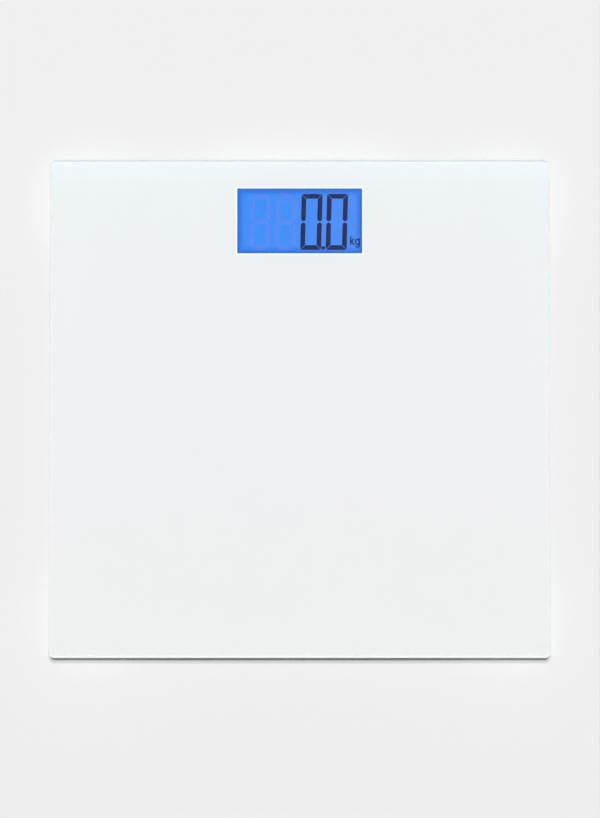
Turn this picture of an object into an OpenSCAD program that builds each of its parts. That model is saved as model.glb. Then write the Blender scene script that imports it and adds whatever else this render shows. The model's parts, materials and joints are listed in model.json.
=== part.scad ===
// Digital bathroom scale: a clear glass platform with a white coat fired on its underside, four
// weighing feet, and a display case bonded under a clear window in the coat.
// Millimetres, +Z up. The origin is the middle of the plane that the four rubber pads stand on.
// +Y points to the display edge (the rear), -Y to the edge nearest the reader (the front).

/* [Platform] */
// Width of the glass, left to right
plate_w = 300; // [290:1:330]
// Depth of the glass, front edge to display edge
plate_d = 300; // [296:1:330]
// Thickness of the tempered glass
plate_t = 6; // [5:0.5:8]
// Corner radius of the glass
corner_r = 3.5; // [3:0.5:8]
// Width of the ground edge on the glass
edge_c = 1.2; // [0.6:0.1:1.6]
// Height of the glass underside above the floor
stand_h = 17; // [17:0.5:20]

/* [Display] */
// Width of the clear window in the white coat
window_w = 75; // [70:1:76]
// Depth of the clear window
window_d = 39.2; // [36:0.1:40]
// Distance of the window's middle from the display edge
window_inset = 37.3; // [36.5:0.1:40]
// Height of a digit
digit_h = 33.8; // [30:0.1:34]
// Width of a digit
digit_w = 12.6; // [11:0.1:12.8]
// Distance from one digit to the next
digit_pitch = 15.3; // [15:0.1:15.5]
// Lean of the digits, in degrees
digit_lean = 1.6; // [0:0.1:3]

/* [Feet] */
// Distance of a foot's middle from the glass edges
foot_inset = 32; // [30:1:34]
// Radius of a foot housing at the glass
foot_r = 25; // [25:0.1:26]
// How far a foot cap drops when the scale is lifted
foot_play = 0.3; // [0.2:0.1:0.5]
// Side of the square steel load cell
load_cell_w = 34; // [33:0.5:34]

/* [Case] */
// Width of the display case
case_w = 116; // [114:1:122]
// Depth of the display case
case_d = 84; // [84:1:86]
// Wall thickness of the case
case_wall = 1.8; // [1.4:0.1:2]
// Gap between the case and the floor
floor_gap = 2.4; // [2:0.1:2.6]

/* [Battery] */
// Diameter of an AAA cell
aaa_d = 10.5; // [10:0.1:10.6]
// Length of an AAA cell with its nub
aaa_l = 44.5; // [43.5:0.5:44.5]

/* [Hidden] */
$fn = 48;

// The four feet: name, side (-1 left, 1 right), end (-1 front, 1 rear)
FEET = [["front_left", -1, -1], ["front_right", 1, -1], ["rear_left", -1, 1], ["rear_right", 1, 1]];
// The three wires of a load cell: colour, place across the bundle
WIRES = [["red", -1], ["black", 0], ["white", 1]];
FOOT_PIECES = ["foot_housing", "load_cell", "foot_cap", "foot_pad", "wire_duct"];

// Heights of the layers under the glass, from the top down
coat_t = 0.2;
tape_t = 0.5;
coat_z = stand_h - coat_t;
case_top = coat_z - tape_t;
roof_t = 1.2;
roof_z = case_top - roof_t;

// Display stack, from the top down
film_t = 0.2;
sheet_t = 1;
ink_t = 0.1;
guide_t = 2.5;
board_t = 1.2;
lcd_margin = 2.5;
lcd_ledge = 4.5;
ledge_margin = 1;
window_y = plate_d / 2 - window_inset;
lcd_w = window_w + 2 * lcd_margin;
lcd_d = window_d + lcd_margin + ledge_margin + lcd_ledge;
lcd_y = window_y + (lcd_margin - ledge_margin - lcd_ledge) / 2;
lcd_cover_gap = 0.6;
zebra_w = 60;
zebra_d = 2.4;
front_glass_z = case_top - sheet_t;
ink_z = front_glass_z - ink_t;
rear_glass_z = ink_z - sheet_t;
guide_z = rear_glass_z - film_t - guide_t;
board_top = guide_z - film_t;
board_z = board_top - board_t;
rear_sheet_d = lcd_d - lcd_ledge;
rear_sheet_y = lcd_y + lcd_ledge / 2;
guide_w = lcd_w - 2;
guide_d = rear_sheet_d - 0.6;
lamp_t = 1.4;
lamp_w = 3.2;
lamp_h = 1.8;
lamp_x = guide_w / 2 + 0.2 + lamp_t / 2;
lamp_y = 8;

// Digits: the right-hand one's middle from the window's middle, and the bars they are made of
digit_x = 22.35;
digit_y = -0.45;
digit_r = 1.3;
bar_w = 2.85;
corner_gap = 0.28;
waist_gap = 0.9;
point_r = 1.1;
point_left = 8.15;
point_rise = 1.2;
unit_x = 30.2;
unit_y = -14.4;
unit_h = 5.2;
unit_stroke = 0.78;

// Circuit board and what is on it
board_w = 96;
board_d = 48;
board_y = window_y - 1;
board_post_x = 44.5;
board_post_y = 20;
board_post_r = 2.5;
board_pilot_r = 0.95;
switch_x = -24;
switch_y = board_y - 11;
switch_w = 6;
switch_h = 3.5;
plunger_r = 1.7;
button_r = 3.4;

// Case
case_y = window_y - 12;
case_r = 7;
cover_t = 1.5;
split_z = floor_gap + cover_t;
screw_x = case_w / 2 - 6.5;
screw_y = case_d / 2 - 6.5;
screw_seat_z = floor_gap + 3;
boss_r = 3.2;
screw_head_r = 2.4;
screw_head_h = 1.6;
shank_r = 1.2;
shank_l = 8;
pilot_r = 1.25;

// Battery well: two cells side by side, lying left to right
well_y = case_y - 26.5;
well_l = 52;
well_w = 22.6;
well_wall = 1.2;
well_base = floor_gap + 4.2;
aaa_step = (aaa_d + 0.6) / 2;
aaa_z = split_z + 0.25 + aaa_d / 2;
contact_t = 0.3;
contact_w = 9;
contact_h = 7.6;
contact_z = well_base + 0.2;
contact_x = well_l / 2 - 0.1 - contact_t;
dimple_h = 1.1;
nub_tip = contact_x - dimple_h;
flat_end = aaa_l - nub_tip;
tab_z = contact_z + contact_h - 1;

// Battery door: turns on two stub pins at the well's right end
door_gap = 0.3;
door_d = well_w - 0.2;
hatch_d = door_d + 2 * door_gap;
hatch_x = well_l / 2 + 2.6;
hinge_r = 1.5;
hinge_x = hatch_x - door_gap - hinge_r;
hinge_z = split_z;
pin_r = 0.8;
pin_l = 1.3;
rim_wall = 1.5;
rim_h = 2.5;
latch_w = 8;
latch_h = 2.5;
latch_t = 0.9;
latch_setback = 1;
latch_bite = 0.5;
nose_z = 1.7;

// Feet, in each foot's own place: +Y runs to the case, along the wires
foot_x = plate_w / 2 - foot_inset;
foot_y = plate_d / 2 - foot_inset;
foot_base = 3.6;
foot_roof_z = case_top - 1.7;
foot_bore_r = 22.9;
load_cell_t = 2;
gauge_h = 1.3;
bend_room = gauge_h + 0.9;
load_cell_z = foot_roof_z - bend_room - load_cell_t;
cap_base = 1.4;
cap_floor = 2.4;
cap_r = 21;
cap_flange_r = 22.4;
snap_h = 1;
cap_flange_z = foot_base + snap_h + foot_play + 0.1;
cap_top = 6.1;
pad_r = 18.3;
gauge_y = 8.4;
gauge_l = 6.4;

// Wires and the ducts that cover them
wire_r = 0.6;
wire_step = 1.4;
wire_z = 13.9;
gate_w = 5.2;
duct_w = 9;
duct_h = 4.4;
duct_wall = 1.2;
duct_start = foot_r + 0.6;
front_entry = [45, case_y - case_d / 2];
front_aim = atan2(front_entry[1] + foot_y, front_entry[0] - foot_x);
front_run = norm(front_entry - [foot_x, -foot_y]);
rear_run = foot_x - case_w / 2;

// ---------- shapes that repeat ----------

// A flat rectangle with round corners
module rounded(w, d, r) {
    square([w - 2 * r, d], center = true);
    square([w, d - 2 * r], center = true);
    for (x = [-1, 1], y = [-1, 1])
        translate([x * (w / 2 - r), y * (d / 2 - r)]) circle(r = r);
}

// A flat frame with round corners
module frame(w, d, r, wall) {
    difference() {
        rounded(w, d, r);
        rounded(w - 2 * wall, d - 2 * wall, max(r - wall, 0.4));
    }
}

// A plate with round corners and one chamfer c all round its top and bottom
module slab(w, d, h, r, c) {
    function side(half) = [
        [c - half, 0], [half - c, 0], [half, c], [half, h - c],
        [half - c, h], [c - half, h], [-half, h - c], [-half, c]
    ];
    rotate([90, 0, 90]) linear_extrude(w - 2 * r, center = true) polygon(side(d / 2));
    rotate([90, 0, 0]) linear_extrude(d - 2 * r, center = true) polygon(side(w / 2));
    for (x = [-1, 1], y = [-1, 1])
        translate([x * (w / 2 - r), y * (d / 2 - r), 0])
            rotate_extrude() polygon([[0, 0], [r - c, 0], [r, c], [r, h - c], [r - c, h], [0, h]]);
}

// A row of points turned into a smooth line through all of them
function blend(a, b, c, d, t) =
    0.5 * (2 * b + (c - a) * t + (2 * a - 5 * b + 4 * c - d) * t * t
           + (3 * b - a - 3 * c + d) * t * t * t);
function smooth(p, steps) = let (last = len(p) - 1) concat(
    [for (i = [0:last - 1], s = [0:steps - 1])
        blend(p[max(i - 1, 0)], p[i], p[i + 1], p[min(i + 2, last)], s / steps)],
    [p[last]]
);
function unit(v) = v / norm(v);
function heading(p, i) = unit(p[min(i + 1, len(p) - 1)] - p[max(i - 1, 0)]);
// The level direction across a line that runs mostly level
function across(t) = unit([-t[1], t[0], 0]);
// The line moved sideways by s
function beside(p, s) = [for (i = [0:len(p) - 1]) p[i] + s * across(heading(p, i))];

// A closed tube of radius r along the points p, with an upright hint for each ring
module tube(p, r, up, sides = 8) {
    rings = len(p);
    points = [
        for (i = [0:rings - 1])
            let (t = heading(p, i), a = unit(cross(up(i), t)), b = cross(t, a))
                for (k = [0:sides - 1])
                    p[i] + r * (a * cos(360 * k / sides) + b * sin(360 * k / sides))
    ];
    walls = [
        for (i = [0:rings - 2], k = [0:sides - 1])
            let (a = i * sides + k, b = i * sides + (k + 1) % sides)
                each [[a, b + sides, b], [a, a + sides, b + sides]]
    ];
    first = [for (k = [0:sides - 1]) k];
    last = [for (k = [sides - 1:-1:0]) (rings - 1) * sides + k];
    polyhedron(points, concat(walls, [first], [last]));
}

module wire(p, r) {
    level = function (i) [0, 0, 1];
    tube(smooth(p, 3), r, level);
}

// A cone-shaped coil spring from x = 0 to x = length, wide at x = 0
module coil_spring(length, wide, narrow, turns, r) {
    steps = turns * 14;
    line = [
        for (i = [0:steps])
            let (s = i / steps, rr = wide + (narrow - wide) * s)
                [r + (length - 2 * r) * s, rr * cos(360 * turns * s), rr * sin(360 * turns * s)]
    ];
    axis = function (i) [1, 0, 0];
    tube(line, r, axis, 6);
}

// A round-headed screw that points up, with its head's underside at z = 0
module screw(head_r, head_h, body_r, body_l) {
    difference() {
        union() {
            translate([0, 0, -head_h]) cylinder(h = head_h, r1 = head_r * 0.8, r2 = head_r);
            cylinder(h = body_l, r = body_r);
        }
        for (turn = [0, 90])
            rotate(turn) translate([0, 0, -head_h]) cube([head_r * 1.1, 0.5, 1.2], center = true);
    }
}

// ---------- platform ----------

module glass_platform() {
    color("lightcyan") translate([0, 0, stand_h]) slab(plate_w, plate_d, plate_t, corner_r, edge_c);
}

module back_coat() {
    color("white") translate([0, 0, coat_z]) linear_extrude(coat_t) difference() {
        rounded(plate_w - 2 * edge_c, plate_d - 2 * edge_c, corner_r - edge_c);
        translate([0, window_y]) square([window_w, window_d], center = true);
    }
}

module case_tape() {
    color("gainsboro") translate([0, case_y, case_top]) linear_extrude(tape_t)
        frame(case_w - 2, case_d - 2, case_r - 1, 5.5);
}

module foot_tapes() {
    color("gainsboro") for (f = FEET)
        translate([f[1] * foot_x, f[2] * foot_y, case_top])
            cylinder(h = tape_t, r = foot_r - 1.5);
}

// ---------- display case ----------

module at_screws(x, y) {
    for (sx = [-1, 1], sy = [-1, 1]) translate([sx * x, sy * y, 0]) children();
}

// Gaps in the case wall where the wires come in
module wire_gates() {
    for (side = [-1, 1]) {
        translate([side * (case_w / 2 - 1), foot_y, wire_z])
            cube([8, gate_w, 2 * (roof_z - wire_z)], center = true);
        translate([side * front_entry[0], front_entry[1], wire_z]) rotate(side * (front_aim - 90))
            cube([gate_w, 10, 2 * (roof_z - wire_z)], center = true);
    }
}

module upper_case() {
    color("white") difference() {
        union() {
            translate([0, case_y, split_z]) linear_extrude(case_top - split_z)
                frame(case_w, case_d, case_r, case_wall);
            translate([0, case_y, roof_z]) linear_extrude(roof_t) rounded(case_w - 1, case_d - 1, case_r);
            translate([0, well_y, well_base]) linear_extrude(roof_z - well_base + 0.1) difference() {
                square([well_l + 2 * well_wall, well_w + 2 * well_wall], center = true);
                square([well_l, well_w], center = true);
            }
            translate([0, case_y, screw_seat_z]) at_screws(screw_x, screw_y)
                cylinder(h = roof_z - screw_seat_z + 0.1, r = boss_r);
            translate([0, board_y, board_top]) at_screws(board_post_x, board_post_y)
                cylinder(h = roof_z - board_top + 0.1, r = board_post_r);
        }
        translate([0, lcd_y, case_top - 5])
            linear_extrude(10) square([lcd_w + lcd_cover_gap, lcd_d + lcd_cover_gap], center = true);
        translate([0, case_y, screw_seat_z - 1]) at_screws(screw_x, screw_y)
            cylinder(h = shank_l + 1, r = pilot_r);
        translate([0, board_y, board_top - 1]) at_screws(board_post_x, board_post_y)
            cylinder(h = 4.2, r = board_pilot_r);
        for (y = [-1, 1]) translate([well_l / 2 + well_wall / 2, well_y + y * aaa_step, tab_z])
            cube([3, 3.6, 1], center = true);
        wire_gates();
    }
}

module lower_case() {
    color("white") difference() {
        union() {
            translate([0, case_y, floor_gap]) slab(case_w, case_d, cover_t, case_r, 0.6);
            translate([0, case_y, split_z - 0.1]) linear_extrude(1.4)
                frame(case_w - 2 * case_wall - 0.4, case_d - 2 * case_wall - 0.4, case_r - case_wall, 1.1);
            translate([0, case_y, floor_gap + 0.7]) at_screws(screw_x, screw_y)
                cylinder(h = screw_seat_z - floor_gap - 0.7, r = 4.1);
            translate([0, well_y, split_z - 0.1]) linear_extrude(rim_h + 0.1)
                square([2 * (hatch_x + rim_wall), hatch_d + 2 * rim_wall], center = true);
        }
        translate([0, well_y, 0]) linear_extrude(20) square([2 * hatch_x, hatch_d], center = true);
        translate([0, case_y, 0]) at_screws(screw_x, screw_y) {
            cylinder(h = screw_seat_z - 1.2, r = screw_head_r + 0.3);
            cylinder(h = 20, r = shank_r + 0.2);
        }
        translate([switch_x, switch_y, 0]) cylinder(h = 20, r = button_r + 0.2);
        // sockets for the door's pins, and the pocket for its latch
        translate([hinge_x, well_y, hinge_z]) rotate([90, 0, 0])
            cylinder(h = hatch_d + 2 * pin_l - 0.4, r = pin_r + 0.05, center = true);
        translate([-hatch_x - 0.4, well_y, split_z + nose_z]) cube([0.8, latch_w + 0.6, 1.2], center = true);
        // finger notch at the door's free end
        translate([-hatch_x - 1, well_y, floor_gap]) cylinder(h = 1.6, r = 5, center = true);
    }
}

module case_screws() {
    color("silver") translate([0, case_y, screw_seat_z - 1.2]) at_screws(screw_x, screw_y)
        screw(screw_head_r, screw_head_h, shank_r, shank_l);
}

module battery_door() {
    color("white") difference() {
        union() {
            translate([(hinge_x - hatch_x + door_gap) / 2, well_y, floor_gap]) linear_extrude(cover_t)
                square([hinge_x + hatch_x - door_gap, door_d], center = true);
            translate([hinge_x, well_y, hinge_z]) rotate([90, 0, 0]) {
                cylinder(h = door_d, r = hinge_r, center = true);
                cylinder(h = door_d + 2 * pin_l, r = pin_r, center = true);
            }
            // ribs that hold the cells up against the well's roof
            for (x = [-14, 14]) translate([x, well_y, split_z]) cube([1.2, door_d - 6, 0.4], center = true);
        }
        // grip ridges pressed into the outer face by the finger notch
        for (i = [0:3]) translate([-hatch_x + 8 + 2.4 * i, well_y, floor_gap]) cube([1, 12, 0.8], center = true);
    }
}

// The springy arm at the door's free end, with the nose that snaps into the case
module door_latch() {
    x = -hatch_x + door_gap + latch_setback;
    reach = door_gap + latch_setback + latch_bite;
    color("white") translate([x, well_y + latch_w / 2, split_z]) rotate([90, 0, 0])
        linear_extrude(latch_w) polygon([
            [0, 0], [latch_t, 0], [latch_t, latch_h], [0.3, latch_h], [0, nose_z + 0.5],
            [-reach, nose_z + 0.2], [-reach, nose_z - 0.1], [0, nose_z - 0.6]
        ]);
}

// ---------- batteries and contacts ----------

// A cell that lies along +X from its flat end, nub last
module aaa_cell() {
    r = aaa_d / 2;
    can = aaa_l - 1.2;
    rotate([0, 90, 0]) rotate_extrude() polygon([
        [0, 0], [r - 0.7, 0], [r, 0.5], [r, can - 0.5], [r - 0.6, can], [1.9, can], [1.9, aaa_l], [0, aaa_l]
    ]);
}

module battery_rear() {
    color("slategray") translate([nub_tip - aaa_l, well_y + aaa_step, aaa_z]) aaa_cell();
}

module battery_front() {
    color("slategray") translate([aaa_l - nub_tip, well_y - aaa_step, aaa_z]) mirror([1, 0, 0]) aaa_cell();
}

module contact_plate(y, w) {
    translate([contact_x, well_y + y - w / 2, contact_z]) cube([contact_t, w, contact_h]);
}

module dimple(y) {
    translate([contact_x - dimple_h, well_y + y, aaa_z]) rotate([0, 90, 0])
        cylinder(h = dimple_h + 0.1, r1 = 1.4, r2 = 2.2);
}

module solder_tab(y) {
    translate([contact_x, well_y + y - 1.5, tab_z - contact_t / 2]) cube([3.6, 3, contact_t]);
}

module positive_contact() {
    color("silver") {
        contact_plate(aaa_step, contact_w);
        dimple(aaa_step);
        solder_tab(aaa_step);
    }
}

module negative_contact() {
    color("silver") {
        contact_plate(-aaa_step, contact_w);
        solder_tab(-aaa_step);
    }
}

module bridge_contact() {
    color("silver") mirror([1, 0, 0]) {
        contact_plate(0, well_w - 2);
        dimple(-aaa_step);
    }
}

module cell_spring() {
    translate([contact_x, 0, aaa_z]) mirror([1, 0, 0])
        coil_spring(contact_x - flat_end, 3.6, 2.4, 4, 0.28);
}

module negative_spring() {
    color("silver") translate([0, well_y - aaa_step, 0]) cell_spring();
}

module bridge_spring() {
    color("silver") mirror([1, 0, 0]) translate([0, well_y + aaa_step, 0]) cell_spring();
}

// ---------- display ----------

module lcd_front_polariser() {
    color("lightsteelblue") translate([0, window_y, case_top]) linear_extrude(film_t)
        square([window_w + 2, window_d + 2], center = true);
}

module lcd_front_glass() {
    color("aliceblue") translate([0, lcd_y, front_glass_z]) linear_extrude(sheet_t)
        square([lcd_w, lcd_d], center = true);
}

// The six outer bars of a digit, which make a nought, with its middle at the origin
module nought() {
    middle = (digit_w - bar_w) / 2;
    tip = bar_w * 0.18;
    difference() {
        rounded(digit_w, digit_h, digit_r);
        square([digit_w - 2 * bar_w, digit_h - 2 * bar_w], center = true);
        // thin diagonal gaps at the four corners
        for (x = [-1, 1], y = [-1, 1])
            translate([x * (digit_w - bar_w) / 2, y * (digit_h - bar_w) / 2]) rotate(x * y * 45)
                square([2 * bar_w, corner_gap], center = true);
        // the blunt points that face each other half way up
        for (x = [-1, 1], side = [-1, 1]) translate([x * middle, 0]) polygon([
            [0, -waist_gap / 2], [side * tip, -waist_gap / 2], [side * bar_w, -waist_gap / 2 - bar_w + tip],
            [side * bar_w, waist_gap / 2 + bar_w - tip], [side * tip, waist_gap / 2], [0, waist_gap / 2]
        ]);
    }
}

// A straight stroke from a to b
module stroke(a, b) {
    translate(a) rotate(atan2(b[1] - a[1], b[0] - a[0])) translate([0, -unit_stroke / 2])
        square([norm(b - a), unit_stroke]);
}

// An upright ring that is taller than it is wide
module tall_ring(w, h) {
    difference() {
        rounded(w, h, w / 2 - 0.01);
        rounded(w - 2 * unit_stroke, h - 2 * unit_stroke, w / 2 - unit_stroke - 0.01);
    }
}

// The unit mark, kg, with its lower left corner at the origin
module unit_mark() {
    low = 0.75 * unit_h;
    half = unit_stroke / 2;
    stroke([half, 0], [half, unit_h]);
    stroke([half, 1.5], [2.3, low]);
    stroke([1.05, 2.1], [2.6, 0]);
    translate([4.5, low / 2]) tall_ring(2.9, low);
    stroke([5.64, -0.5], [5.64, low]);
    translate([4.5, -0.2]) intersection() {
        tall_ring(2.9, 2.9);
        translate([-2, -2]) square([4, 1.75]);
    }
}

module lcd_segments() {
    lean = [[1, tan(digit_lean), 0, 0], [0, 1, 0, 0], [0, 0, 1, 0], [0, 0, 0, 1]];
    color("midnightblue") translate([0, window_y, ink_z]) {
        for (n = [0, 1]) translate([digit_x - n * digit_pitch, digit_y, 0])
            multmatrix(lean) linear_extrude(ink_t) nought();
        translate([digit_x - point_left, digit_y - digit_h / 2 + point_rise, 0])
            cylinder(h = ink_t, r = point_r);
        translate([unit_x, unit_y, 0]) linear_extrude(ink_t) unit_mark();
    }
}

module lcd_rear_glass() {
    color("aliceblue") translate([0, rear_sheet_y, rear_glass_z]) linear_extrude(sheet_t)
        square([lcd_w, rear_sheet_d], center = true);
}

module lcd_rear_polariser() {
    color("lightsteelblue") translate([0, rear_sheet_y, rear_glass_z - film_t]) linear_extrude(film_t)
        square([guide_w, guide_d], center = true);
}

module backlight_guide() {
    color("deepskyblue") translate([0, rear_sheet_y, guide_z]) linear_extrude(guide_t)
        square([guide_w, guide_d], center = true);
}

module backlight_reflector() {
    color("white") translate([0, rear_sheet_y, board_top]) linear_extrude(film_t)
        square([guide_w, guide_d], center = true);
}

// Side-view lamps that shine into both ends of the light guide
module backlight_leds() {
    color("blue") for (side = [-1, 1], y = [-1, 1])
        translate([side * lamp_x, rear_sheet_y + y * lamp_y, board_top + lamp_h / 2])
            cube([lamp_t, lamp_w, lamp_h], center = true);
}

module zebra_strip() {
    color("lightpink") translate([0, lcd_y - lcd_d / 2 + lcd_ledge / 2, board_top])
        linear_extrude(front_glass_z - board_top) square([zebra_w, zebra_d], center = true);
}

// ---------- circuit board ----------

module main_board() {
    color("seagreen") translate([0, board_y, board_z]) linear_extrude(board_t) difference() {
        rounded(board_w, board_d, 1.5);
        at_screws(board_post_x, board_post_y) circle(r = 1.1);
    }
}

module board_screws() {
    color("silver") translate([0, board_y, board_z]) at_screws(board_post_x, board_post_y)
        screw(1.9, 1.2, 0.9, 4);
}

module chip_blob() {
    color("black") translate([12, board_y - 4, board_z - 1.5])
        rotate_extrude() polygon([[0, 0], [2.5, 0.05], [4.4, 0.35], [5.6, 0.85], [6.2, 1.5], [0, 1.5]]);
}

// Small surface-mount parts under the board, in two rows
module chip_parts() {
    color("dimgray") for (i = [0:5], row = [0, 1])
        translate([-8 + 8 * i, board_y + 8 + 7 * row, board_z - 0.4])
            cube([i % 3 == 0 ? 3.2 : 2, 1.25, 0.8], center = true);
}

module switch_body() {
    color("dimgray") translate([switch_x, switch_y, board_z - switch_h]) difference() {
        linear_extrude(switch_h) square(switch_w, center = true);
        translate([0, 0, -1]) cylinder(h = 3.2, r = plunger_r + 0.1);
    }
}

module switch_plunger() {
    color("black") translate([switch_x, switch_y, board_z - switch_h - 1]) cylinder(h = 2.4, r = plunger_r);
}

// Pushed up from below to change the weighing unit
module unit_button() {
    post_z = board_z - switch_h - 1;
    color("gray") translate([switch_x, switch_y, 0]) {
        translate([0, 0, floor_gap - 0.1]) rotate_extrude() polygon([
            [0, 0.3], [button_r - 1, 0.2], [button_r - 0.4, 0], [button_r, 0.4],
            [button_r, split_z - floor_gap + 0.3], [0, split_z - floor_gap + 0.3]
        ]);
        translate([0, 0, split_z + 0.2]) cylinder(h = 1, r = 4.6);
        translate([0, 0, split_z + 1.1]) cylinder(h = post_z - split_z - 1.1, r = 1.8);
    }
}

// From a contact's solder tab to the board's front edge
module battery_lead(y, end_x) {
    start = contact_x + 3.8;
    end_y = board_y - board_d / 2 + 2.3;
    wire([[start, well_y + y, tab_z], [start + 1.6, well_y + y + 0.8, tab_z - 0.1],
          [end_x - 0.3, well_y + y + 4, tab_z - 0.4], [end_x, end_y - 3, board_top + 1.2],
          [end_x, end_y, board_top + 0.7]], wire_r);
}

module battery_lead_red() {
    color("red") battery_lead(aaa_step, 34);
}

module battery_lead_black() {
    color("black") battery_lead(-aaa_step, 36.5);
}

// ---------- feet ----------

// Puts a foot's piece in its place, turned so that its +Y runs along its wires
module at_foot(f) {
    translate([f[1] * foot_x, f[2] * foot_y, 0]) mirror([f[1] > 0 ? 1 : 0, 0, 0])
        rotate(f[2] > 0 ? -90 : 90 - front_aim) children();
}

// Bonded to the coat; its three snaps catch the foot cap when the scale is lifted
module foot_housing() {
    color("white") difference() {
        union() {
            rotate_extrude() polygon([
                [0, case_top], [foot_r - 0.6, case_top], [foot_r, case_top - 0.6], [foot_r, case_top - 2],
                [foot_r - 0.8, foot_base + 0.4], [foot_r - 1.2, foot_base], [foot_bore_r, foot_base],
                [foot_bore_r, foot_roof_z], [0, foot_roof_z]
            ]);
            // pads that the load cell's frame bears on
            for (x = [-1, 1], y = [-1, 1]) translate([x * 13.5, y * 13.5, load_cell_z + load_cell_t])
                linear_extrude(bend_room + 0.1) square(6, center = true);
            // clips that hold the load cell up
            for (turn = [90, 180, 270]) rotate(turn) translate([-3, load_cell_w / 2 + 0.2, 0]) {
                translate([0, 0, load_cell_z - 1.2]) cube([6, 1.4, foot_roof_z - load_cell_z + 1.3]);
                translate([0, -0.9, load_cell_z - 1.2]) cube([6, 1, 1]);
            }
            for (turn = [70, 190, 310]) rotate(turn) rotate_extrude(angle = 40)
                polygon([[cap_r + 0.4, foot_base], [foot_bore_r + 0.4, foot_base],
                         [foot_bore_r + 0.4, foot_base + snap_h], [cap_r + 0.4, foot_base + snap_h]]);
        }
        translate([0, foot_r, (foot_roof_z + wire_z - wire_r - 0.4) / 2])
            cube([gate_w, 8, foot_roof_z - wire_z + wire_r + 0.4], center = true);
    }
}

// Stamped steel: a square frame with a tongue that rests on the foot cap, so that its neck bends
module load_cell() {
    color("lightgray") translate([0, 0, load_cell_z]) linear_extrude(load_cell_t) difference() {
        rounded(load_cell_w, load_cell_w, 5);
        difference() {
            rounded(load_cell_w - 10, load_cell_w - 10, 2);
            translate([0, -1]) rounded(14, 12, 2);
            translate([-4.5, 3]) square([9, 12]);
        }
    }
}

// White silicone over each strain gauge, on the neck of the tongue
module gauge_coats() {
    color("ivory") for (f = FEET) at_foot(f)
        translate([0, gauge_y, load_cell_z + load_cell_t]) slab(8.2, gauge_l, gauge_h, 1.5, 0.4);
}

module foot_cap() {
    color("white") {
        rotate_extrude() polygon([
            [0, cap_floor], [pad_r + 0.2, cap_floor], [pad_r + 0.2, cap_base], [cap_r - 0.5, cap_base],
            [cap_r, cap_base + 0.5], [cap_r, cap_flange_z], [cap_flange_r, cap_flange_z],
            [cap_flange_r, cap_top - 0.5], [cap_flange_r - 0.5, cap_top], [cap_r - 1.6, cap_top],
            [cap_r - 1.6, cap_floor + 1.6], [4, cap_floor + 1.6], [4, load_cell_z - 0.6],
            [3.4, load_cell_z], [0, load_cell_z]
        ]);
        for (turn = [0:45:315]) rotate(turn) translate([3.6, -0.6, cap_floor + 1.5])
            cube([cap_r - 4.4, 1.2, cap_top - cap_floor - 2]);
    }
}

module foot_pad() {
    color("gray") rotate_extrude() polygon([
        [0, 0], [6, 0], [6, 0.8], [7.2, 0.8], [7.2, 0], [12, 0], [12, 0.8], [13.2, 0.8], [13.2, 0],
        [pad_r - 0.5, 0], [pad_r, 0.5], [pad_r, cap_floor], [0, cap_floor]
    ]);
}

// A channel from the foot to the case, open to the glass, over the wires
module wire_duct(f) {
    half = duct_w / 2;
    run = f[2] > 0 ? rear_run : front_run + 10;
    color("white") difference() {
        at_foot(f) translate([0, run, coat_z]) rotate([90, 0, 0]) linear_extrude(run - duct_start) polygon([
            [-half, 0], [-half, 1 - duct_h], [1 - half, -duct_h], [half - 1, -duct_h], [half, 1 - duct_h],
            [half, 0], [half - duct_wall, 0], [half - duct_wall, 0.9 - duct_h],
            [duct_wall - half, 0.9 - duct_h], [duct_wall - half, 0]
        ]);
        translate([0, case_y, 0]) linear_extrude(30) square([case_w + 0.4, case_d + 0.4], center = true);
    }
}

// The wires' line in a foot's own place, as far as the case's wall
function foot_line(run) = [
    [0, gauge_y + gauge_l / 2, load_cell_z + load_cell_t + 0.65], [0, 15, load_cell_z + load_cell_t + 0.8],
    [0, 19, wire_z - 0.2], [0, 23, wire_z], [0, run / 2, wire_z], [0, run - 4, wire_z]
];
// From there to the board, in the foot's own place too
function front_tail(run) = [[0, run + 4, wire_z], [-2.6, run + 11, wire_z - 0.2],
                            [-8, run + 18, wire_z - 0.6], [-15, run + 24, wire_z - 1.2], [-22.5, run + 29, board_top + 0.7]];
function rear_tail(run) = [[0, run + 5, wire_z], [0, run + 9, wire_z - 0.6],
                           [0, run + 12, board_top + 0.8], [0, run + 14, board_top + 0.7]];

module cell_wires(w) {
    color(w[0]) for (f = FEET) at_foot(f) {
        run = f[2] > 0 ? rear_run : front_run;
        line = concat(foot_line(run), f[2] > 0 ? rear_tail(run) : front_tail(run));
        wire(beside(line, w[1] * wire_step), wire_r);
    }
}

// ---------- nodes ----------

glass_platform();
back_coat();
case_tape();
foot_tapes();
upper_case();
lower_case();
case_screws();
battery_door();
door_latch();
battery_rear();
battery_front();
positive_contact();
negative_contact();
bridge_contact();
negative_spring();
bridge_spring();
lcd_front_polariser();
lcd_front_glass();
lcd_segments();
lcd_rear_glass();
lcd_rear_polariser();
backlight_guide();
backlight_reflector();
backlight_leds();
zebra_strip();
main_board();
board_screws();
chip_blob();
chip_parts();
switch_body();
switch_plunger();
unit_button();
battery_lead_red();
battery_lead_black();
gauge_coats();
for (w = WIRES) {
    cell_wires(w);
}
for (f = FEET) {
    at_foot(f) foot_housing();
    at_foot(f) load_cell();
    at_foot(f) foot_cap();
    at_foot(f) foot_pad();
    wire_duct(f);
}
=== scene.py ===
# %% [markdown]
# # A glass bathroom scale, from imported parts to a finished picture
# Every part of the scale already exists as a plain solid in its true place and size. This lesson
# leaves those solids where they are and gives each one the surface of the real thing. Only the
# glass sheet is made again, with finer edges, because its look depends on how light bends there.
# A few small things that the solids leave out, such as a label, are added near the end.

# %% Load the parts
import json
import math

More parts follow.
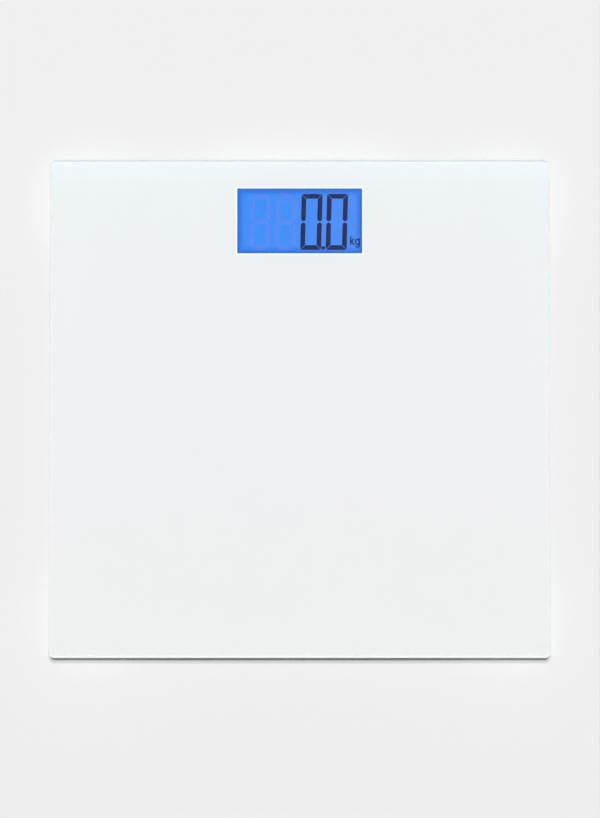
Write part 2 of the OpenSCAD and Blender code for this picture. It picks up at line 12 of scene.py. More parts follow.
import bmesh
import bpy
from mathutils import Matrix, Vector


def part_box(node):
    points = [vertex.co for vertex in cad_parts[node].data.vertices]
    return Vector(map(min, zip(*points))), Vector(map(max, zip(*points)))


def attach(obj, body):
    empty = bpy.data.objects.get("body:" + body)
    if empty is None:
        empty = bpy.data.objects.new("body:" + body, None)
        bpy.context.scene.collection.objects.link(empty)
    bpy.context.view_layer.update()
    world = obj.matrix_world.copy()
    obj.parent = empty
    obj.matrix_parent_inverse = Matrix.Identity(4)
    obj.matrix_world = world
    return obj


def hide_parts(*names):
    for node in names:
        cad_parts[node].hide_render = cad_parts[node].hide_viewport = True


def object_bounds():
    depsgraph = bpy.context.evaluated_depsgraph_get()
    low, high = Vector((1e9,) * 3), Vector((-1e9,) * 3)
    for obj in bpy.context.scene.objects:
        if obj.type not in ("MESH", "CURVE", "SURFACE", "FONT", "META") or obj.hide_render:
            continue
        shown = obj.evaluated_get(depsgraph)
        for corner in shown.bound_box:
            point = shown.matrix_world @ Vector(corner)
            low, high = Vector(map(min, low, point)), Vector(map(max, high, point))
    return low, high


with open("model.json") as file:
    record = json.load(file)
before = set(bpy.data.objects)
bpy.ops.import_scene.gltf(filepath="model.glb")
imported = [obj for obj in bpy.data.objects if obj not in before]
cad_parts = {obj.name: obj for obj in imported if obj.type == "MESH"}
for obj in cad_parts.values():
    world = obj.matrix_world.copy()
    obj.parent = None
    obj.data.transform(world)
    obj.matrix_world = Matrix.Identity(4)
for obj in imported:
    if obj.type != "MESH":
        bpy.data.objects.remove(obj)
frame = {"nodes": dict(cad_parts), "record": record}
cad_low, cad_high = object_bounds()
NODES = frame["nodes"]
SLOT_OF = {part["node"]: part["material_slot"] for part in frame["record"]["subparts"]}
MM = 0.001
print("parts:", len(NODES), " size in mm:", [round(s / MM, 1) for s in cad_high - cad_low])

# %% [markdown]
# ## Words for building finishes
# A finish is a small machine of shader nodes. Written one node at a time it is hard to follow, so a
# Wire stands for the output of a node and understands +, -, * and /, and a Finish makes any other
# node from its type, its settings and what goes into its sockets.

# %% A wire carries a value from one node to the next
class Wire:
    """The output of a shader node. Arithmetic on it adds Math nodes to its finish."""

    def __init__(self, finish, socket):
        self.finish = finish
        self.socket = socket

    def math(self, operation, first, second):
        return self.finish.node("ShaderNodeMath", {"operation": operation}, {0: first, 1: second})

    def __add__(self, other):
        return self.math("ADD", self, other)

    def __sub__(self, other):
        return self.math("SUBTRACT", self, other)

    def __rsub__(self, other):
        return self.math("SUBTRACT", other, self)

    def __mul__(self, other):
        return self.math("MULTIPLY", self, other)

    def __truediv__(self, other):
        return self.math("DIVIDE", self, other)

    def __abs__(self):
        return self.math("ABSOLUTE", self, 0.0)

    def most(self, other):
        return self.math("MAXIMUM", self, other)

    __radd__ = __add__
    __rmul__ = __mul__


# %% A finish is a material in the making
class Finish:
    """A material, its shader nodes and the few patterns that the finishes below share."""

    def __init__(self, name):
        self.material = bpy.data.materials.new(name)
        self.material.use_nodes = True
        self.tree = self.material.node_tree
        self.tree.nodes.clear()

    def node(self, kind, settings=None, sockets=None, output=0):
        """Makes one node: its settings first, then values or wires into its sockets."""
        made = self.tree.nodes.new(kind)
        for name, value in (settings or {}).items():
            setattr(made, name, value)
        for name, value in (sockets or {}).items():
            if isinstance(value, Wire):
                self.tree.links.new(value.socket, made.inputs[name])
            else:
                made.inputs[name].default_value = value
        return Wire(self, made.outputs[output])

    def place(self):
        """Where a point lies on the scale, in metres."""
        return self.node("ShaderNodeTexCoord", output=3)

    def axis(self, place, letter):
        """One coordinate of a place."""
        return self.node("ShaderNodeSeparateXYZ", sockets={0: place}, output="XYZ".index(letter))

    def stretched(self, place, x, y, z):
        """The place scaled along each axis, which draws a pattern out into streaks."""
        return self.node("ShaderNodeVectorMath", {"operation": "MULTIPLY"}, {0: place, 1: (x, y, z)})

    def spots(self, place, size, detail=2.0):
        """Soft random spots about size metres across, from 0 to 1."""
        sockets = {"Vector": place, "Scale": 1 / size, "Detail": detail}
        return self.node("ShaderNodeTexNoise", sockets=sockets)

    def pores(self, place, size):
        """Rounded cells about size metres across, from 0 in their middles upwards."""
        sockets = {"Vector": place, "Scale": 1 / size}
        return self.node("ShaderNodeTexVoronoi", {"feature": "F1"}, sockets)

    def rise(self, value, start, end):
        """0 below start, 1 above end, and a smooth slope between them."""
        settings = {"interpolation_type": "SMOOTHSTEP"}
        sockets = {"Value": value, "From Min": start, "From Max": end}
        return self.node("ShaderNodeMapRange", settings, sockets)

    def blend(self, share, first, second):
        """The first colour where share is 0 and the second where it is 1."""
        sockets = {0: share, 6: colour(first), 7: colour(second)}
        return self.node("ShaderNodeMix", {"data_type": "RGBA"}, sockets, output=2)

    def relief(self, height, depth):
        """A normal that makes height, from 0 to 1, stand depth metres proud."""
        return self.node("ShaderNodeBump", sockets={"Height": height, "Distance": depth})

    def shader(self, sockets):
        """The all-round surface shader."""
        return self.node("ShaderNodeBsdfPrincipled", sockets=sockets)

    def done(self, shader, inside=None):
        """Sends the shader to the surface, and inside to the space within, and ends the finish."""
        sockets = {"Surface": shader}
        if inside:
            sockets["Volume"] = inside
        output = self.tree.nodes.new("ShaderNodeOutputMaterial")
        for name, wire in sockets.items():
            self.tree.links.new(wire.socket, output.inputs[name])
        return self.material


def colour(value):
    """Three numbers from 0 to 1 as a colour with full cover. A wire stays a wire."""
    return value if isinstance(value, Wire) else (*value, 1.0)


def shaded(rgb, factor):
    """A lighter or darker version of a colour."""
    return tuple(channel * factor for channel in rgb)


# %% [markdown]
# ## The studio
# A white object on a white ground is drawn by its edges alone. Light from straight overhead keeps
# the ground clean at the sides, and leaning that light back a little lets one thin line of shade
# fall along the near edge. A pale glow round the horizon then lights the sides of the feet.

# %% Camera, almost straight above and a long way off
CAMERA_HEIGHT = math.radians(85)
LENS = 300
SENSOR = 36
VIEW_TALL = 0.490

aim = Vector((0.0002, -0.0008, cad_high.z * 0.87))
away = Vector((0, -math.cos(CAMERA_HEIGHT), math.sin(CAMERA_HEIGHT)))
camera_data = bpy.data.cameras.new("portrait_camera")
camera_data.lens = LENS
camera_data.sensor_width = SENSOR
camera = bpy.data.objects.new("portrait_camera", camera_data)
camera.location = aim + away * (VIEW_TALL * LENS / SENSOR)
camera.rotation_mode = "QUATERNION"
camera.rotation_quaternion = (-away).to_track_quat("-Z", "Y")
bpy.context.scene.collection.objects.link(camera)
bpy.context.scene.camera = camera
bpy.context.scene.view_settings.view_transform = "Standard"
print("camera stands off by", round((camera.location - aim).length, 2), "m")

# %% [markdown]
# ### The ground
# A picture of this kind is taken on a wide sheet of matt paper. Here it is one flat face, far wider
# than the view, so that no horizon shows when the scale is seen from low down.

# %% The ground is a matt sheet with a barely visible tooth
FLOOR_HALF = 30


def floor_finish():
    paper = Finish("pale_ground")
    place = paper.place()
    tooth = paper.spots(place, 1.5 * MM)
    tint = paper.blend(tooth, (0.737, 0.737, 0.737), (0.747, 0.747, 0.747))
    return paper.done(paper.shader({"Base Color": tint, "Roughness": 0.9, "Specular IOR Level": 0.2}))


ground = bpy.data.meshes.new("ground")
corners = [(-FLOOR_HALF, -FLOOR_HALF, 0), (FLOOR_HALF, -FLOOR_HALF, 0),
           (FLOOR_HALF, FLOOR_HALF, 0), (-FLOOR_HALF, FLOOR_HALF, 0)]
ground.from_pydata(corners, [], [(0, 1, 2, 3)])
ground.materials.append(floor_finish())
floor = bpy.data.objects.new("ground", ground)
bpy.context.scene.collection.objects.link(floor)
print("ground is", 2 * FLOOR_HALF, "m across")

# %% [markdown]
# ### Two lamps
# A soft box overhead, leaning back, gives most of the light. The low strip in front is a studio
# trick: light linking lets it fall on the glass alone, so that the near edge shows as a bright line.
# Neither lamp is seen or mirrored, because a mirrored lamp lies on the glass as a white panel.

# %% A lamp that lights but is never seen
def hidden_lamp(name, wide, tall, power, place, turn):
    """An area lamp that the camera, mirrors and clear glass don't see."""
    data = bpy.data.lights.new(name, "AREA")
    data.shape = "RECTANGLE"
    data.size = wide
    data.size_y = tall
    data.energy = power
    made = bpy.data.objects.new(name, data)
    made.location = place
    made.rotation_euler = (turn, 0, 0)
    made.visible_camera = False
    made.visible_glossy = False
    made.visible_transmission = False
    bpy.context.scene.collection.objects.link(made)
    print(name, "gives", power, "W")
    return made


# %% A soft box high overhead, leaning back
BOX_HEIGHT = 6
BOX_LEAN = math.radians(4.2)
BOX_POWER = 352
BOX_WIDE = 0.25
BOX_LONG = 0.3

box_place = (0, BOX_HEIGHT * math.tan(BOX_LEAN), BOX_HEIGHT)
hidden_lamp("overhead_box", BOX_WIDE, BOX_LONG, BOX_POWER, box_place, -BOX_LEAN)

# %% A low strip in front, which lights only the glass
STRIP_AWAY = 3
STRIP_RISE = math.radians(5)
STRIP_POWER = 45
STRIP_WIDE = 3
STRIP_TALL = 0.35

strip_place = (0, -STRIP_AWAY * math.cos(STRIP_RISE), STRIP_AWAY * math.sin(STRIP_RISE))
strip_turn = math.pi / 2 - STRIP_RISE
strip = hidden_lamp("edge_strip", STRIP_WIDE, STRIP_TALL, STRIP_POWER, strip_place, strip_turn)
strip_lights = bpy.data.collections.new("lit_by_the_strip")
strip.light_linking.receiver_collection = strip_lights

# %% [markdown]
# ### The sky
# What no lamp reaches is lit by the sky. It is brightest at the horizon, which is where the sides of
# the glass and the feet look, and dim overhead, so that the plate mirrors little of it.

# %% A sky that is bright at the horizon and dim above
SKY = [(0.0, 0.85), (0.10, 0.75), (0.30, 0.22), (0.80, 0.18), (1.0, 0.05)]

sky = bpy.data.worlds.new("studio_sky")
sky.use_nodes = True
tree = sky.node_tree
tree.nodes.clear()
where = tree.nodes.new("ShaderNodeTexCoord")
split = tree.nodes.new("ShaderNodeSeparateXYZ")
ramp = tree.nodes.new("ShaderNodeValToRGB")
light = tree.nodes.new("ShaderNodeBackground")
end = tree.nodes.new("ShaderNodeOutputWorld")
while len(ramp.color_ramp.elements) < len(SKY):
    ramp.color_ramp.elements.new(0.5)
for stop, (height, glow) in zip(ramp.color_ramp.elements, SKY):
    stop.position = height
    stop.color = (glow, glow, glow, 1)
tree.links.new(where.outputs["Generated"], split.inputs[0])
tree.links.new(split.outputs["Z"], ramp.inputs[0])
tree.links.new(ramp.outputs[0], light.inputs["Color"])
tree.links.new(light.outputs[0], end.inputs["Surface"])
bpy.context.scene.world = sky
sky.cycles.sampling_method = "NONE"
print("sky stops:", len(SKY))

# %% [markdown]
# ## Edges that catch the light
# Nothing moulded, ground or stamped has a perfectly sharp edge. The parts keep their own meshes, so
# the softening is done by modifiers: weld the loose faces together, round the edges by a fraction
# of a millimetre, and weight the normals so that flat faces stay flat.

# %% Modifiers for the parts that keep their own shape
def soften(name, width, steps=2, angle=35):
    """Rounds the sharp edges of a part by width metres."""
    part = NODES[name]
    part.modifiers.new("weld", "WELD").merge_threshold = 0.001 * MM
    edge = part.modifiers.new("edge", "BEVEL")
    edge.width = width
    edge.segments = steps
    edge.limit_method = "ANGLE"
    edge.angle_limit = math.radians(angle)
    part.modifiers.new("normals", "WEIGHTED_NORMAL").keep_sharp = True


def draw_back(name, distance):
    """Pulls a sheet's skin in by distance, which leaves air between it and the next sheet."""
    part = NODES[name]
    part.modifiers.new("weld", "WELD").merge_threshold = 0.001 * MM
    skin = part.modifiers.new("skin", "DISPLACE")
    skin.mid_level = 0
    skin.strength = -distance


def round_off(name):
    """Smooths a wire's eight sides into a round."""
    part = NODES[name]
    part.modifiers.new("weld", "WELD").merge_threshold = 0.001 * MM
    part.modifiers.new("round", "SUBSURF").render_levels = 1
    part.modifiers["round"].levels = 1


def dress(name, finish):
    """Gives a part its finish."""
    part = NODES[name]
    part.data.materials.clear()
    part.data.materials.append(finish)
    part["dressed"] = True


# %% [markdown]
# ### Skins from rings of points
# A plate, a label and a collar are all the same thing to build: an outline, drawn several times at
# different heights and joined up. Drawing the outline by a formula keeps its corners truly round.

# %% An outline with round corners
def corner_ring(width, depth, radius, inset, z, steps=10):
    """Points round a rectangle with round corners, drawn inset inside its edge, at height z."""
    r = radius - inset if radius > inset else 0
    keep = max(radius, inset)
    ring = []
    for corner, (sx, sy) in enumerate([(1, 1), (-1, 1), (-1, -1), (1, -1)]):
        for step in range(steps + 1):
            turn = math.pi / 2 * (corner + step / steps)
            x = sx * (width / 2 - keep) + r * math.cos(turn)
            y = sy * (depth / 2 - keep) + r * math.sin(turn)
            ring.append((x, y, z))
    return ring


# %% A skin through a stack of outlines
def skin(name, rings, finishes, body, slot, smooth=30, hole=False):
    """A closed skin drawn through rings of points, capped at both ends. With a hole, the last ring
    joins the first instead, as on a washer."""
    shape = bmesh.new()
    rows = [[shape.verts.new(point) for point in ring] for ring in rings]
    pairs = list(zip(rows, rows[1:]))
    if hole:
        pairs.append((rows[-1], rows[0]))
    for low, high in pairs:
        for i, start in enumerate(low):
            after = (i + 1) % len(low)
            shape.faces.new((start, low[after], high[after], high[i]))
    if not hole:
        shape.faces.new(tuple(reversed(rows[0])))
        shape.faces.new(rows[-1])
    return finish_mesh(name, shape, finishes, body, smooth)


# %% From mesh code to a named piece that rides on its body
def finish_mesh(name, shape, finishes, body, smooth=30):
    """Turns mesh code into a named piece that rides on a body."""
    bmesh.ops.remove_doubles(shape, verts=shape.verts, dist=0.0005 * MM)
    bmesh.ops.recalc_face_normals(shape, faces=shape.faces)
    mesh = bpy.data.meshes.new(name)
    shape.to_mesh(mesh)
    shape.free()
    for made in finishes:
        mesh.materials.append(made)
    mesh.polygons.foreach_set("use_smooth", [True] * len(mesh.polygons))
    mesh.set_sharp_from_angle(angle=math.radians(smooth))
    piece = bpy.data.objects.new(name, mesh)
    bpy.context.scene.collection.objects.link(piece)
    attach(piece, body)
    return piece


# %% [markdown]
# ## The glass platform
# One sheet of toughened glass, six millimetres thick, with its edges ground at a slant and
# polished. A box with a glass shader would look like plastic: what reads as glass is the slanted
# edge, which shows the white coat below it from the side. The faint green comes from the depth of
# glass that the light crosses, so it is made as absorption inside the sheet and not as paint.

# %% Glass that lets lamplight through
GLASS_BEND = 1.52
FROST_SHARE = 0.45
EDGE_LETS_THROUGH = 0.78
GLASS_GREEN = (0.60, 1.0, 0.97, 1)
GREEN_DENSITY = 0.06


def through_lamps(glass, solid, share):
    """Lets a share of straight lamplight pass a glass shader, which would otherwise cast a black shadow."""
    open_way = glass.node("ShaderNodeBsdfTransparent", sockets={"Color": (share, share, share, 1)})
    is_lamp = glass.node("ShaderNodeLightPath", output=1)
    return glass.node("ShaderNodeMixShader", sockets={0: is_lamp, 1: solid, 2: open_way})


def green_depth(glass):
    """The green that glass takes on with depth."""
    sockets = {"Color": GLASS_GREEN, "Density": GREEN_DENSITY}
    return glass.node("ShaderNodeVolumeAbsorption", sockets=sockets)


# %% Polished faces, with the faintest smears
def polished_glass():
    glass = Finish("polished_glass")
    place = glass.place()
    smears = glass.spots(place, 40 * MM, detail=4)
    polish = glass.rise(smears, 0.45, 0.75) * 0.01
    solid = glass.shader({"Base Color": (1, 1, 1, 1), "Roughness": polish, "IOR": GLASS_BEND,
                          "Transmission Weight": 1.0})
    return glass.done(through_lamps(glass, solid, 1.0), green_depth(glass))


# %% Ground edges
def ground_glass():
    """The slanted edges: partly clear, partly frosted by the grinding wheel. The frost is tinted a
    touch red, which holds back the green that the glass gives the edge."""
    glass = Finish("ground_glass_edge")
    place = glass.place()
    scratches = glass.spots(glass.stretched(place, 1, 1, 9), 0.4 * MM, detail=3)
    clear = glass.shader({"Base Color": (1, 1, 1, 1), "Roughness": scratches * 0.2 + 0.1,
                          "IOR": GLASS_BEND, "Transmission Weight": 1.0})
    frost_tint = glass.blend(scratches, (0.81, 0.79, 0.80), (0.89, 0.87, 0.88))
    frost = glass.shader({"Base Color": frost_tint, "Roughness": scratches * 0.2 + 0.25})
    edge = glass.node("ShaderNodeMixShader", sockets={0: FROST_SHARE, 1: clear, 2: frost})
    return glass.done(through_lamps(glass, edge, EDGE_LETS_THROUGH), green_depth(glass))


# %% The sheet itself, with slanted edges
GROUND_EDGE = 1.2 * MM
CORNER = 3.5 * MM
AIR = 0.03 * MM
FLAT_FROM = 6 * MM
ARRIS = 0.22 * MM

low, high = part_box("glass_platform")
size = high - low
profile = [(FLAT_FROM, AIR), (GROUND_EDGE, AIR), (0, GROUND_EDGE), (0, size.z - GROUND_EDGE),
           (GROUND_EDGE, size.z), (FLAT_FROM, size.z)]
rings = [corner_ring(size.x, size.y, CORNER, inset, low.z + rise) for inset, rise in profile]
plate = skin("glass_plate", rings, [polished_glass(), ground_glass()], "platform", "clear_glass")
for face in plate.data.polygons:
    face.material_index = 1 if abs(face.normal.z) < 0.9 else 0
rounding = plate.modifiers.new("arris", "BEVEL")
rounding.width = ARRIS
rounding.segments = 3
rounding.angle_limit = math.radians(30)
rounding.harden_normals = True
strip_lights.objects.link(plate)
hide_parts("glass_platform")
print("glass:", [round(s / MM, 1) for s in size])

# %% [markdown]
# ## The white coat
# The white is not on top. It is a ceramic paint fired onto the underside of the glass, so it is
# seen through six millimetres of glass and never looks dull. Its white is a little warmer on the
# near side than on the far side. A painted glow makes a band along the far edge paler and bluer,
# as light coming in through the glass edge would, and a thin rim round the clear window palest,
# as the backlight shining past the window's edge would.

# %% Where the window is
WINDOW_LOW, WINDOW_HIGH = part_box("lcd_front_polariser")
FILM_MARGIN = 1 * MM
WINDOW = {
    "x": (WINDOW_HIGH.x - WINDOW_LOW.x) / 2 - FILM_MARGIN,
    "y": (WINDOW_HIGH.y - WINDOW_LOW.y) / 2 - FILM_MARGIN,
    "middle": (WINDOW_HIGH.y + WINDOW_LOW.y) / 2,
}


def outside_window(finish, place):
    """How far a point lies outside the window's edge, in metres. Inside it, the number is negative."""
    across = abs(finish.axis(place, "X")) - WINDOW["x"]
    along = abs(finish.axis(place, "Y") - WINDOW["middle"]) - WINDOW["y"]
    return across.most(along)


# %% Fired enamel, warm at the near side and cool at the far side, with painted glow at the far edge and round the window
PLATE_HALF = 150 * MM
FAR_EDGE_GLOW = (132 * MM, 146 * MM)
WINDOW_GLOW_RIM = (0.5 * MM, 1.6 * MM)


def white_enamel():
    enamel = Finish("fired_white_enamel")
    place = enamel.place()
    along = enamel.axis(place, "Y")
    far_side = enamel.rise(along, -PLATE_HALF, PLATE_HALF)
    # Painted glow: a paler, bluer band along the far edge stands in for light coming in through the glass
    # edge.
    far_edge_glow = enamel.rise(along, *FAR_EDGE_GLOW)
    # Painted glow: a thin pale rim round the window stands in for the backlight shining past the window's
    # edge.
    window_glow = 1 - enamel.rise(outside_window(enamel, place), *WINDOW_GLOW_RIM)
    clouds = enamel.spots(place, 45 * MM)
    grain = enamel.spots(place, 0.6 * MM)
    near_tint = enamel.blend(clouds, (0.822, 0.838, 0.834), (0.834, 0.846, 0.842))
    far_tint = enamel.blend(clouds, (0.810, 0.846, 0.862), (0.822, 0.856, 0.870))
    tint = enamel.blend(far_side, near_tint, far_tint)
    tint = enamel.blend(grain * 0.12, tint, (0.86, 0.88, 0.88))
    tint = enamel.blend(far_edge_glow * 0.7, tint, (0.825, 0.885, 0.925))
    tint = enamel.blend(window_glow, tint, (0.93, 0.95, 0.95))
    surface = enamel.shader({"Base Color": tint, "Roughness": grain * 0.1 + 0.3,
                             "Normal": enamel.relief(grain, 0.004 * MM)})
    return enamel.done(surface)


dress("back_coat", white_enamel())
print("window in mm:", round(WINDOW["x"] / MM * 2, 1), "x", round(WINDOW["y"] / MM * 2, 1))

# %% [markdown]
# ## The display
# A display like this is a stack: a film, a sheet of glass, the dark segments, another sheet,
# another film and, behind them all, a slab of acrylic that is lit blue from its ends. The picture
# on it could be painted on one flat panel, but then it would not shift between its layers when it
# is seen at a slant. The stack is kept. Nearly all of the light comes from the slab behind. The
# segments glow a very little too, which stands in for the blue that leaks through dark crystal.

# %% The lit slab
GLOW_MIDDLE = (0.082, 0.44, 1.44)
GLOW_RIGHT = (0.130, 0.435, 1.40)
GLOW_IN_EDGE_SHADE = (0.030, 0.20, 0.95)


def light_guide():
    slab = Finish("lit_acrylic")
    place = slab.place()
    depth_in = outside_window(slab, place) * -1
    # Painted shade: the glow dims towards the window's edge, standing in for the shade that the recessed
    # window's border casts.
    clear_of_edge_shade = slab.rise(depth_in, -0.5 * MM, 5 * MM)
    clouds = slab.spots(place, 14 * MM)
    dots = slab.pores(place, 0.9 * MM)
    to_right = slab.rise(slab.axis(place, "X"), -20 * MM, 30 * MM)
    middle_glow = slab.blend(to_right, GLOW_MIDDLE, GLOW_RIGHT)
    glow = slab.blend(clear_of_edge_shade, GLOW_IN_EDGE_SHADE, middle_glow)
    glow = slab.blend(clouds * 0.35, glow, (0.06, 0.46, 1.52))
    glow = slab.blend(dots * 0.05, glow, (0.2, 0.45, 1.3))
    surface = slab.shader({"Base Color": (0.01, 0.03, 0.1, 1), "Roughness": clouds * 0.1 + 0.25,
                           "Emission Color": glow, "Emission Strength": 1.0})
    return slab.done(surface)


# %% [markdown]
# ### Films, thin glass and segments
# Each sheet is drawn back by a hair from the next one. Where two sheets share a face exactly, a
# renderer can't tell which comes first, and the picture breaks up into specks.

# %% Polarising film
def polariser_film():
    """A clear film that darkens what is behind it. Only its near face mirrors, so that nothing is
    trapped inside when the film is seen at a slant."""
    film = Finish("polariser_film")
    place = film.place()
    drawn = film.spots(film.stretched(place, 1, 12, 1), 4 * MM)
    seen = film.node("ShaderNodeBsdfTransparent", sockets={"Color": (0.95, 0.95, 0.96, 1)})
    shine = {"Color": (1, 1, 1, 1), "Roughness": drawn * 0.1 + 0.03}
    gloss = film.node("ShaderNodeBsdfGlossy", sockets=shine)
    far_face = film.node("ShaderNodeNewGeometry", output=6)
    mirror = film.node("ShaderNodeFresnel", sockets={"IOR": 1.4}) * (1 - far_face)
    return film.done(film.node("ShaderNodeMixShader", sockets={0: mirror, 1: seen, 2: gloss}))


# %% Thin glass
def display_glass():
    """The display's own thin glass, which bends light nearly as much as the platform does."""
    pane = Finish("thin_display_glass")
    place = pane.place()
    wave = pane.spots(place, 9 * MM)
    return pane.done(pane.shader({"Base Color": (0.98, 0.99, 0.99, 1), "Roughness": wave * 0.004,
                                  "IOR": 1.5, "Transmission Weight": 1.0}))


# %% Segments that are switched on
def segment_ink():
    """Switched-on crystal: nearly black, with a little of the blue leaking through it."""
    crystal = Finish("dark_segments")
    place = crystal.place()
    leak = crystal.spots(place, 3 * MM, detail=4)
    glow = crystal.blend(leak, (0.018, 0.034, 0.13), (0.034, 0.036, 0.14))
    surface = crystal.shader({"Base Color": (0.02, 0.02, 0.05, 1), "Roughness": leak * 0.2 + 0.3,
                              "Emission Color": glow, "Emission Strength": 1.0})
    return crystal.done(surface)


# %% Dress the stack
SHEET_GAP = 0.02 * MM
SEGMENT_GAP = 0.01 * MM

for sheet in ("lcd_front_polariser", "lcd_front_glass", "lcd_rear_glass", "lcd_rear_polariser"):
    draw_back(sheet, SHEET_GAP)
draw_back("lcd_segments", SEGMENT_GAP)
draw_back("backlight_guide", SHEET_GAP)
film_finish = polariser_film()
pane_finish = display_glass()
dress("lcd_front_polariser", film_finish)
dress("lcd_rear_polariser", film_finish)
dress("lcd_front_glass", pane_finish)
dress("lcd_rear_glass", pane_finish)
dress("lcd_segments", segment_ink())
dress("backlight_guide", light_guide())
print("display sheets dressed:", sum(name.startswith("lcd_") for name in NODES))

# %% [markdown]
# ### Segments that are switched off
# Unlit digits never vanish completely. Seen against the light they leave a faint mauve print, so
# two idle digits stand to the left of the lit ones. Each bar is a thin slip with pointed ends.

# %% One bar of a digit
BAR = 2.85 * MM
DIGIT_TALL = 33.8 * MM
DIGIT_WIDE = 12.6 * MM
DIGIT_STEP = 15.3 * MM
DIGIT_LEAN = math.tan(math.radians(1.6))
LIT_DIGIT_X = 22.35 * MM
DIGIT_DROP = 0.45 * MM
SLIP_GAP = 0.35 * MM
SLIP_THICK = 0.05 * MM
SLIP_LIFT = 0.025 * MM


def slip(shape, start, end, z, origin):
    """One bar of a digit, from start to end, with a point at each end."""
    along = (Vector(end) - Vector(start)).normalized()
    side = Vector((-along.y, along.x))
    half = BAR / 2
    first = Vector(start) + along * SLIP_GAP
    last = Vector(end) - along * SLIP_GAP
    outline = [first, first + along * half - side * half, last - along * half - side * half,
               last, last - along * half + side * half, first + along * half + side * half]
    bottom = []
    top = []
    for point in outline:
        x = origin.x + point.x + point.y * DIGIT_LEAN
        bottom.append(shape.verts.new((x, origin.y + point.y, z)))
        top.append(shape.verts.new((x, origin.y + point.y, z + SLIP_THICK)))
    shape.faces.new(tuple(reversed(bottom)))
    shape.faces.new(top)
    for i, corner in enumerate(bottom):
        after = (i + 1) % len(bottom)
        shape.faces.new((corner, bottom[after], top[after], top[i]))


# %% The faint print of an unlit segment
def idle_finish():
    idle = Finish("idle_segments")
    place = idle.place()
    cover = idle.spots(place, 6 * MM) * 0.2 + 0.12
    # The blue glow is painted backlight, standing in for the light that the idle crystal lets through.
    surface = idle.shader({"Base Color": (0.05, 0.05, 0.2, 1), "Roughness": 0.5, "Alpha": cover,
                           "Emission Color": (0.20, 0.30, 1.05, 1), "Emission Strength": 1.0})
    return idle.done(surface)


# %% Two idle digits of seven bars
IDLE_PLACES = (2, 3)

ink_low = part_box("lcd_segments")[0]
slip_z = ink_low.z + SLIP_LIFT
right = (DIGIT_WIDE - BAR) / 2
top = (DIGIT_TALL - BAR) / 2
slips = bmesh.new()
for place_left in IDLE_PLACES:
    origin = Vector((LIT_DIGIT_X - place_left * DIGIT_STEP, WINDOW["middle"] - DIGIT_DROP))
    for x in (-right, right):
        slip(slips, (x, 0), (x, top), slip_z, origin)
        slip(slips, (x, -top), (x, 0), slip_z, origin)
    for y in (-top, 0, top):
        slip(slips, (-right, y), (right, y), slip_z, origin)
finish_mesh("idle_digits", slips, [idle_finish()], "platform")
print("idle digits:", len(IDLE_PLACES))

# %% [markdown]
# ## Moulded plastic
# The case, feet and ducts are white moulded plastic. A mould is spark-eroded to a fine grain, so
# that finger marks don't show, and the melt leaves faint clouds as it cools. Both patterns are far
# smaller than the part, so they are made from noise and not modelled.

# %% Plastic, from its colour, its gloss and the size of its grain
def moulded(name, rgb, roughness, grain_size, depth):
    plastic = Finish(name)
    place = plastic.place()
    grain = plastic.spots(place, grain_size, detail=3)
    clouds = plastic.spots(place, 22 * MM)
    tint = plastic.blend(clouds, shaded(rgb, 0.96), rgb)
    tint = plastic.blend(grain * 0.15, tint, shaded(rgb, 0.9))
    surface = plastic.shader({"Base Color": tint, "Roughness": grain * 0.2 + roughness,
                              "Normal": plastic.relief(grain, depth)})
    return plastic.done(surface)


# %% Five mouldings
FINISHES = {
    "case_plastic": moulded("white_case_plastic", (0.84, 0.85, 0.85), 0.42, 0.45 * MM, 0.02 * MM),
    "duct_plastic": moulded("white_duct_plastic", (0.84, 0.85, 0.85), 0.3, 1.6 * MM, 0.006 * MM),
    "foot_plastic": moulded("white_foot_plastic", (0.82, 0.83, 0.83), 0.45, 0.5 * MM, 0.02 * MM),
    "button_plastic": moulded("grey_button_plastic", (0.33, 0.35, 0.37), 0.4, 0.4 * MM, 0.015 * MM),
    "switch_plastic": moulded("black_switch_plastic", (0.025, 0.025, 0.028), 0.35, 0.3 * MM, 0.01 * MM),
}
print("plastics:", ", ".join(FINISHES))

# %% [markdown]
# ## Rubber, foam and silicone
# Rubber pads grip because they are soft and matt. Talc from the mould and dust from the floor stay
# on the faces that touch the ground. Foam tape is all cells: where it is cut, they stand open.

# %% Pad rubber, dusty where it meets the floor
def pad_rubber():
    rubber = Finish("grey_pad_rubber")
    place = rubber.place()
    speck = rubber.spots(place, 0.5 * MM, detail=4)
    dust = 1 - rubber.rise(rubber.axis(place, "Z"), 0.0, 0.7 * MM)
    tint = rubber.blend(speck, (0.34, 0.35, 0.36), (0.42, 0.43, 0.44))
    tint = rubber.blend(dust * speck * 0.7, tint, (0.62, 0.61, 0.59))
    return rubber.done(rubber.shader({"Base Color": tint, "Roughness": speck * 0.15 + 0.7,
                                      "Normal": rubber.relief(speck, 0.03 * MM)}))


# %% Foam tape
def foam_tape():
    foam = Finish("white_foam_tape")
    place = foam.place()
    cells = foam.pores(place, 0.35 * MM)
    tint = foam.blend(cells, (0.66, 0.67, 0.66), (0.82, 0.83, 0.82))
    return foam.done(foam.shader({"Base Color": tint, "Roughness": 0.85,
                                  "Normal": foam.relief(cells, 0.06 * MM)}))


# %% Silicone over the gauges
def white_silicone():
    silicone = Finish("white_silicone")
    place = silicone.place()
    lumps = silicone.spots(place, 2.5 * MM, detail=3)
    tint = silicone.blend(lumps, (0.78, 0.78, 0.74), (0.86, 0.86, 0.83))
    return silicone.done(silicone.shader({"Base Color": tint, "Roughness": lumps * 0.15 + 0.25,
                                          "Normal": silicone.relief(lumps, 0.12 * MM)}))


FINISHES["pad_rubber"] = pad_rubber()
FINISHES["foam_tape"] = foam_tape()
FINISHES["white_silicone"] = white_silicone()
print("soft finishes: rubber, foam, silicone")

